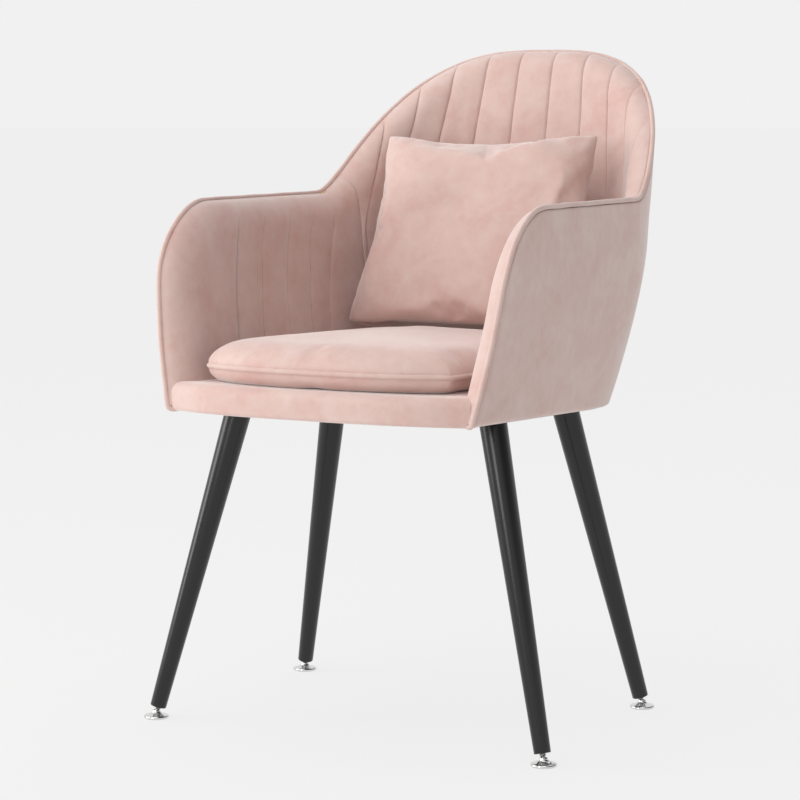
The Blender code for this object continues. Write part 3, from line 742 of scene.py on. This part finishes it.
def ring_distance(points, ring):
    """Distance of plan points to an outline."""
    ends = np.roll(ring, -1, axis=0)
    run = ends - ring
    length = np.maximum((run**2).sum(axis=1), 1e-12)
    gap = points[:, None, :] - ring[None, :, :]
    share = np.clip((gap * run[None]).sum(axis=2) / length, 0, 1)
    return np.linalg.norm(gap - share[..., None] * run[None], axis=2).min(axis=1)


def voxel_mesh(bm, size, name):
    """Even mesh of small quads over a closed bmesh."""
    rough = bpy.data.meshes.new(name)
    bm.to_mesh(rough)
    bm.free()
    holder = bpy.data.objects.new(name, rough)
    bpy.context.scene.collection.objects.link(holder)
    remesh = holder.modifiers.new("remesh", "REMESH")
    remesh.mode = "VOXEL"
    remesh.voxel_size = size
    mesh = bpy.data.meshes.new_from_object(holder.evaluated_get(
        bpy.context.evaluated_depsgraph_get()))
    bpy.data.objects.remove(holder)
    bpy.data.meshes.remove(rough)
    return mesh


def add_subdivision(made):
    extra = made.modifiers.new("subdivision", "SUBSURF")
    extra.levels = 1
    extra.render_levels = 1


cushion_ring = np.array(plan_ring(CUSHION_DEPTH, CUSHION_BOW, CUSHION_INSET))
cushion_bm = bmesh.new()
cushion_bm.faces.new([cushion_bm.verts.new((x, y, 0)) for x, y in cushion_ring])
raised = bmesh.ops.extrude_face_region(cushion_bm, geom=cushion_bm.faces[:], use_keep_orig=True)
cushion_top = [item for item in raised["geom"] if isinstance(item, bmesh.types.BMVert)]
bmesh.ops.translate(cushion_bm, verts=cushion_top, vec=(0, 0, 0.046))
bmesh.ops.recalc_face_normals(cushion_bm, faces=cushion_bm.faces)
cushion_mesh = voxel_mesh(cushion_bm, CUSHION_VOXEL, "seat_cushion_velvet")
flat = np.array([vert.co for vert in cushion_mesh.vertices])
inside = ring_distance(flat[:, :2], cushion_ring)
level = np.clip(flat[:, 2] / 0.046, 0, 1)
shoulder = 1 - np.minimum(1.0, inside / 0.060)
top_h = WELT_HEIGHT + (CUSHION_EDGE_TOP - WELT_HEIGHT) * np.sqrt(1 - shoulder**2.4)
top_h += CUSHION_CROWN * smooth_step(inside, 0.0, 0.16)
low_shoulder = 1 - np.minimum(1.0, inside / 0.016)
low_h = WELT_HEIGHT - (WELT_HEIGHT - CUSHION_FOOT) * np.sqrt(1 - low_shoulder**2)
height = low_h * (1 - level) + top_h * level
shaped = np.column_stack((flat[:, 0], flat[:, 1], deck_z(flat[:, 1], height)))
set_points(cushion_mesh, shaped)
seat_cushion = finish_mesh(cushion_mesh, "seat_cushion_velvet", shell_velvet, "seat_cushion",
                           ("seat_cushion",))
set_points(cushion_mesh, simulated(seat_cushion, 4.0, 20, 0.005))
swollen = np.array([vert.co for vert in cushion_mesh.vertices])
swollen[:, 2] = np.maximum(swollen[:, 2], deck_z(swollen[:, 1], CUSHION_FOOT - 0.0004))
welt_gap = np.abs(swollen[:, 2] - deck_z(swollen[:, 1], WELT_HEIGHT))
edge = smooth_step(-ring_distance(swollen[:, :2], cushion_ring), -0.012, 0.0)
middle = cushion_ring.mean(axis=0)
inward = middle - swollen[:, :2]
inward /= np.linalg.norm(inward, axis=1, keepdims=True)
pull = 0.0022 * edge * np.exp(-(welt_gap / 0.006) ** 2)
swollen[:, :2] += inward * pull[:, None]
swollen[:, 2] += wander(swollen, 0.075, 0.0022) * (swollen[:, 2] > deck_z(swollen[:, 1], 0.06))
set_points(cushion_mesh, swollen)
add_subdivision(seat_cushion)

cushion_tree = bvhtree.BVHTree.FromPolygons(
    [Vector(point) for point in swollen], [face.vertices[:] for face in cushion_mesh.polygons])
welt_path = []
for k, spot in enumerate(cushion_ring):
    run = cushion_ring[(k + 1) % len(cushion_ring)] - cushion_ring[k - 1]
    off = Vector((run[1], -run[0], 0)).normalized()
    if off.dot(Vector((*(spot - middle), 0))) < 0:
        off = -off
    start = Vector((*spot, deck_z(spot[1], WELT_HEIGHT))) + off * 0.03
    hit = cushion_tree.ray_cast(start, -off)[0]
    if hit:
        place = hit + off * (WELT_RADIUS * 0.55)
        welt_path.append((place.x, place.y, place.z))
welt_path = even_points(np.array(welt_path + welt_path[:1]), 0.004)[:-1]
for _ in range(6):
    welt_path = (np.roll(welt_path, 1, axis=0) + welt_path * 2 + np.roll(welt_path, -1, axis=0)) / 4
welt = cord_tube(welt_path, WELT_RADIUS, "seat_cushion_welt_velvet", shell_velvet, "seat_cushion",
                 ("seat_cushion_welt",), closed=True)


# ---- Throw pillow ----
# Loose fibre-filled pillow of the same velvet: two panels sewn edge to edge, blown up from flat by
# its filling, so that its corners stay soft and its edges pucker. It leans on the back.

PILLOW_WIDTH = 0.336
PILLOW_HEIGHT = 0.271
PILLOW_THICKNESS = 0.100
PILLOW_LEAN = math.radians(20.5)
PILLOW_CENTRE = (-0.010, 0.141, 0.6065)
PILLOW_CELLS = (66, 56)

pillow_bm, column, row, behind = grid_sheet(PILLOW_CELLS[0] + 1, PILLOW_CELLS[1] + 1)
across = column / PILLOW_CELLS[0] * 2 - 1
up = row / PILLOW_CELLS[1] * 2 - 1
corner = 0.035 * np.abs(across) ** 4 * np.abs(up) ** 4
taper = 1 - 0.045 * up
bulge = np.sqrt(np.maximum(0, (1 - across**4) * (1 - up**4)))
waist = 1 - 0.030 * (1 - across**2) * np.maximum(up, 0) ** 2
draw = 1 - 0.035 * (1 - up**2) * across**2
pillow_points = np.column_stack((
    across * taper * draw * (1 - corner) * PILLOW_WIDTH / 2,
    np.where(behind, 1.0, -1.0) * (0.0012 + 0.036 * bulge),
    up * waist * (1 - corner) * PILLOW_HEIGHT / 2))
place_verts(pillow_bm, pillow_points)
throw_pillow = finish(pillow_bm, "throw_pillow_velvet", shell_velvet, "throw_pillow",
                      ("throw_pillow",))
blown = simulated(throw_pillow, 4.0, 24, 0.014, shrink=-0.03, stiffness=12.0)
face_side = np.where(behind, 1.0, -1.0)
edge_gap = np.minimum((1 - np.abs(across)) * PILLOW_WIDTH, (1 - np.abs(up)) * PILLOW_HEIGHT) / 2
pucker = np.array([noise.noise(Vector((x / 0.016, 3.0 * side, z / 0.016)))
                   for x, side, z in zip(blown[:, 0], face_side, blown[:, 2])])
dimple = wander(blown, 0.075, 0.010)
blown[:, 1] += face_side * (0.0040 * pucker * np.exp(-((edge_gap - 0.012) / 0.014) ** 2)
                            + dimple * bulge)
blown[:, 2] -= 0.022 * bulge * smooth_step(-up, 0.1, 0.9)
blown -= (blown.max(axis=0) + blown.min(axis=0)) / 2
size = blown.max(axis=0) - blown.min(axis=0)
blown *= np.array([PILLOW_WIDTH, PILLOW_THICKNESS, PILLOW_HEIGHT]) / size
sag = 0.007 * np.clip(blown[:, 2] / PILLOW_HEIGHT * 2, 0, 1) ** 2
blown[:, 2] -= sag * np.exp(-((blown[:, 0] + 0.02) / 0.09) ** 2)
set_points(throw_pillow.data, blown)
lean = Matrix.Translation(PILLOW_CENTRE) @ Matrix.Rotation(-PILLOW_LEAN, 4, "X")
throw_pillow.data.transform(lean)
add_subdivision(throw_pillow)


# ---- Legs ----
# Tapered round steel tubes, powder coated satin black, welded square to their plates and splayed
# outwards on every side. The open lower end holds the threaded insert.

LEG_BLACK = "161617"
LEG_TOP_RADIUS = 0.0170
LEG_END_RADIUS = 0.0102
LEG_WALL = 0.0015
LEG_SIDES = 64
LEG_END_Z = 0.0150
BALL_Z = 0.0062
PLATE_UNDERSIDE = 0.0045
FOOT_SPOTS = {"front": (0.271, -0.2415), "rear": (0.251, 0.1010)}
TOP_SPOTS = {"front": (0.1755, -0.1875), "rear": (0.1670, 0.0380)}
SIDES = {"left": 1, "right": -1}

leg_black, leg_tree, leg_shader = new_material("satin_black_powder_coat", (
    ("Base Color", linear(LEG_BLACK)),
    ("Specular IOR Level", 0.45),
))
# Powder coat dries with a faint orange peel about 2 mm across, which softens its highlight
place = add_node(leg_tree, "ShaderNodeTexCoord").outputs["Object"]
peel = add_node(leg_tree, "ShaderNodeTexNoise", (("Vector", place), ("Scale", 1 / 0.002),
                                                ("Detail", 2.0)))
haze = add_node(leg_tree, "ShaderNodeTexNoise", (("Vector", place), ("Scale", 1 / 0.03),
                                                ("Detail", 3.0)))
gloss = add_node(leg_tree, "ShaderNodeMapRange", (("Value", haze.outputs["Fac"]),
                                                 ("To Min", 0.20), ("To Max", 0.28)))
peel_bump = add_node(leg_tree, "ShaderNodeBump", (
    ("Strength", 0.12), ("Distance", 0.0002), ("Height", peel.outputs["Fac"])))
leg_tree.links.new(gloss.outputs["Result"], leg_shader.inputs["Roughness"])
leg_tree.links.new(peel_bump.outputs["Normal"], leg_shader.inputs["Normal"])


def turned(profile, sides, closed=False):
    """Solid turned about Z from (radius, height) pairs."""
    bm = bmesh.new()
    verts = [bm.verts.new((radius, 0, height)) for radius, height in profile]
    ends = verts[1:] + verts[:1] if closed else verts[1:]
    edges = [bm.edges.new(pair) for pair in zip(verts, ends)]
    bmesh.ops.spin(bm, geom=verts + edges, cent=(0, 0, 0), axis=(0, 0, 1), angle=2 * math.pi,
                   steps=sides, use_merge=True)
    bmesh.ops.remove_doubles(bm, verts=bm.verts, dist=1e-6)
    bmesh.ops.recalc_face_normals(bm, faces=bm.faces)
    if bm.calc_volume(signed=True) < 0:
        bmesh.ops.reverse_faces(bm, faces=bm.faces)
    return bm


def leg_place(row_word, side):
    """Placement whose Z runs down the leg, with its origin at the foot's ball, and its length."""
    foot, top = FOOT_SPOTS[row_word], TOP_SPOTS[row_word]
    ball = Vector((side * foot[0], foot[1], BALL_Z))
    high = Vector((side * top[0], top[1], base_z(top[1]) + PLATE_UNDERSIDE - 0.0003))
    down = (ball - high).normalized()
    turn = down.to_track_quat("Z", "Y").to_matrix().to_4x4()
    return Matrix.Translation(ball) @ turn, (ball - high).length


for row_word in FOOT_SPOTS:
    for side_word, side in SIDES.items():
        label = f"{row_word}_{side_word}"
        frame_of_leg, length = leg_place(row_word, side)
        down = frame_of_leg.col[2].to_3d()
        end = -(LEG_END_Z - BALL_Z) / abs(down.z)
        lip = [(LEG_END_RADIUS - 0.0008 + 0.0008 * math.cos(angle), end - 0.0008 + 0.0008
                * math.sin(angle)) for angle in np.linspace(0, math.pi / 2, 5)]
        profile = [(LEG_TOP_RADIUS, -length)] + lip
        profile += [(LEG_END_RADIUS - LEG_WALL, end), (LEG_TOP_RADIUS - LEG_WALL, -length)]
        leg_bm = turned(profile, LEG_SIDES, closed=True)
        bmesh.ops.transform(leg_bm, matrix=frame_of_leg, verts=leg_bm.verts)
        slope = Vector((0, BASE_FALL, 1)).normalized()
        high = frame_of_leg.col[3].to_3d() - down * length
        for vert in leg_bm.verts:
            if (vert.co - high).length < 2 * LEG_TOP_RADIUS:
                vert.co -= down * ((vert.co - high).dot(slope) / down.dot(slope))
        leg = finish(leg_bm, f"leg_tube_{label}", leg_black, "root",
                     (f"leg_{label}",))
        leg.data.set_sharp_from_angle(angle=math.radians(40))


# ---- Levelling feet ----
# Pressed and chromed dish with a short neck, swivelling on the ball end of an M8 stud that screws
# into the leg, so that each corner of the chair can be levelled.

CHROME = "dcdcdc"
ZINC = "b9bab6"
STUD_RADIUS = 0.0040
STUD_LENGTH = 0.026
THREAD_PITCH = 0.00125
THREAD_DEPTH = 0.0007
BALL_RADIUS = 0.0030
FOOT_RADIUS = 0.0160

chrome, chrome_tree, chrome_shader = new_material("polished_chrome_plate", (
    ("Base Color", linear(CHROME)),
    ("Metallic", 1.0),
))
place = add_node(chrome_tree, "ShaderNodeTexCoord").outputs["Object"]
smear = add_node(chrome_tree, "ShaderNodeTexNoise", (("Vector", place), ("Scale", 1 / 0.006),
                                                    ("Detail", 3.0)))
mirror = add_node(chrome_tree, "ShaderNodeMapRange", (("Value", smear.outputs["Fac"]),
                                                     ("To Min", 0.07), ("To Max", 0.18)))
chrome_tree.links.new(mirror.outputs["Result"], chrome_shader.inputs["Roughness"])

zinc, zinc_tree, zinc_shader = new_material("bright_zinc_plated_steel", (
    ("Base Color", linear(ZINC)),
    ("Metallic", 1.0),
))
place = add_node(zinc_tree, "ShaderNodeTexCoord").outputs["Object"]
spangle = add_node(zinc_tree, "ShaderNodeTexNoise", (("Vector", place), ("Scale", 1 / 0.004),
                                                    ("Detail", 4.0)))
zinc_gloss = add_node(zinc_tree, "ShaderNodeMapRange", (("Value", spangle.outputs["Fac"]),
                                                       ("To Min", 0.26), ("To Max", 0.46)))
zinc_tones = add_node(zinc_tree, "ShaderNodeValToRGB", (("Fac", spangle.outputs["Fac"]),))
zinc_tones.color_ramp.elements[0].color = linear("a3a5a2")
zinc_tones.color_ramp.elements[1].color = linear("c9c9c4")
zinc_tree.links.new(zinc_gloss.outputs["Result"], zinc_shader.inputs["Roughness"])
zinc_tree.links.new(zinc_tones.outputs["Color"], zinc_shader.inputs["Base Color"])

dish = [(0, 0), (0.0146, 0)]
dish += [(FOOT_RADIUS - 0.0020 + 0.0020 * math.cos(angle), 0.0021 + 0.0021 * math.sin(angle))
         for angle in np.linspace(-math.pi / 2 + 0.35, math.pi / 2 - 0.25, 9)]
dish += [(0.0118, 0.00475), (0.0094, 0.0054), (0.0076, 0.0061), (0.0062, 0.0070),
         (0.0053, 0.0082), (0.0050, 0.0094), (0.0049, 0.0101), (0.0046, 0.0105),
         (0.0038, 0.0106), (0.0034, 0.0102), (0.0034, BALL_Z), (0.0027, 0.0042), (0.0013, 0.0032),
         (0, 0.0029)]
ball_end = [(BALL_RADIUS * math.sin(angle), BALL_RADIUS * math.cos(angle))
            for angle in np.linspace(0, 0.76 * math.pi, 14)]
thread = []
turns = int((STUD_LENGTH - 0.0075) / THREAD_PITCH)
for turn in range(turns):
    low = -0.0062 - turn * THREAD_PITCH
    thread += [(STUD_RADIUS - THREAD_DEPTH, low), (STUD_RADIUS, low - THREAD_PITCH * 0.40),
               (STUD_RADIUS, low - THREAD_PITCH * 0.55)]
stud_profile = ball_end + [(0.0021, -0.0052), (0.0030, -0.0058)] + thread
stud_profile += [(STUD_RADIUS - 0.001, -STUD_LENGTH), (0, -STUD_LENGTH)]

for row_word, foot in FOOT_SPOTS.items():
    for side_word, side in SIDES.items():
        label = f"{row_word}_{side_word}"
        dish_bm = turned(dish, 56)
        bmesh.ops.translate(dish_bm, verts=dish_bm.verts, vec=(side * foot[0], foot[1], 0))
        dish_piece = finish(dish_bm, f"foot_dish_{label}", chrome, f"foot_pad_{label}",
                            (f"foot_pad_{label}",))
        dish_piece.data.set_sharp_from_angle(angle=math.radians(45))
        stud_bm = turned(stud_profile, 28)
        bmesh.ops.transform(stud_bm, matrix=leg_place(row_word, side)[0], verts=stud_bm.verts)
        stud_piece = finish(stud_bm, f"foot_stud_thread_{label}", zinc, f"foot_stud_{label}",
                            (f"foot_stud_{label}",))
        stud_piece.data.set_sharp_from_angle(angle=math.radians(35))


# ---- Frame parts inside and beneath ----
# The CAD parts that keep their own shape: the moulded plywood shell and the seat board, the foam,
# the black dust cover stapled under the seat, and the zinc-plated plates, screws, bolts, inserts.

PLY_THICKNESS = 0.0014
FOAM_CELL = 0.0016
FIBRE = 0.0012

birch, birch_tree, birch_shader = new_material("birch_plywood", (("Roughness", 0.62),))
place = add_node(birch_tree, "ShaderNodeTexCoord").outputs["Object"]
drawn = add_node(birch_tree, "ShaderNodeMapping", (("Vector", place), ("Scale", (9.0, 90.0, 90.0))))
birch_grain = add_node(birch_tree, "ShaderNodeTexNoise", (("Vector", drawn.outputs["Vector"]),
                                                         ("Scale", 2.0), ("Detail", 6.0)))
plies = add_node(birch_tree, "ShaderNodeTexWave", (
    ("Vector", place), ("Scale", 1 / (PLY_THICKNESS * 20)), ("Distortion", 0.3)),
    bands_direction="Z")
birch_mix = add_node(birch_tree, "ShaderNodeMix", (
    ("Factor", 0.25), ("A", birch_grain.outputs["Fac"]), ("B", plies.outputs["Fac"])))
birch_tones = add_node(birch_tree, "ShaderNodeValToRGB", (("Fac", birch_mix.outputs["Result"]),))
birch_tones.color_ramp.elements[0].position = 0.3
birch_tones.color_ramp.elements[0].color = linear("a9825a")
birch_tones.color_ramp.elements[1].position = 0.7
birch_tones.color_ramp.elements[1].color = linear("d8b98d")
birch_tree.links.new(birch_tones.outputs["Color"], birch_shader.inputs["Base Color"])

foam, foam_tree, foam_shader = new_material("open_cell_seat_foam", (("Roughness", 0.95),))
place = add_node(foam_tree, "ShaderNodeTexCoord").outputs["Object"]
cells = add_node(foam_tree, "ShaderNodeTexVoronoi", (("Vector", place), ("Scale", 1 / FOAM_CELL)))
foam_tones = add_node(foam_tree, "ShaderNodeValToRGB", (("Fac", cells.outputs["Distance"]),))
foam_tones.color_ramp.elements[0].color = linear("c9b98a")
foam_tones.color_ramp.elements[1].color = linear("efe3bd")
foam_bump = add_node(foam_tree, "ShaderNodeBump", (
    ("Strength", 0.5), ("Distance", 0.0008), ("Height", cells.outputs["Distance"])))
foam_tree.links.new(foam_tones.outputs["Color"], foam_shader.inputs["Base Color"])
foam_tree.links.new(foam_bump.outputs["Normal"], foam_shader.inputs["Normal"])

lining, lining_tree, lining_shader = new_material("black_nonwoven_lining", (
    ("Roughness", 0.9), ("Specular IOR Level", 0.2)))
place = add_node(lining_tree, "ShaderNodeTexCoord").outputs["Object"]
fibres = add_node(lining_tree, "ShaderNodeTexNoise", (
    ("Vector", place), ("Scale", 1 / FIBRE), ("Detail", 5.0), ("Distortion", 1.5)))
lining_tones = add_node(lining_tree, "ShaderNodeValToRGB", (("Fac", fibres.outputs["Fac"]),))
lining_tones.color_ramp.elements[0].position = 0.35
lining_tones.color_ramp.elements[0].color = linear("121213")
lining_tones.color_ramp.elements[1].position = 0.75
lining_tones.color_ramp.elements[1].color = linear("323234")
lining_bump = add_node(lining_tree, "ShaderNodeBump", (
    ("Strength", 0.4), ("Distance", 0.0004), ("Height", fibres.outputs["Fac"])))
lining_tree.links.new(lining_tones.outputs["Color"], lining_shader.inputs["Base Color"])
lining_tree.links.new(lining_bump.outputs["Normal"], lining_shader.inputs["Normal"])

KEPT = {"shell_former": birch, "seat_board": birch, "seat_foam": foam, "dust_cover": lining}
for node_name, node_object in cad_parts.items():
    finish_of_node = KEPT.get(node_name)
    if node_name.startswith(("shell_bolt", "leg_plate", "plate_screw", "foot_insert")):
        finish_of_node = zinc
    if finish_of_node:
        for material_slot in node_object.material_slots:
            material_slot.material = finish_of_node


low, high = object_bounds()
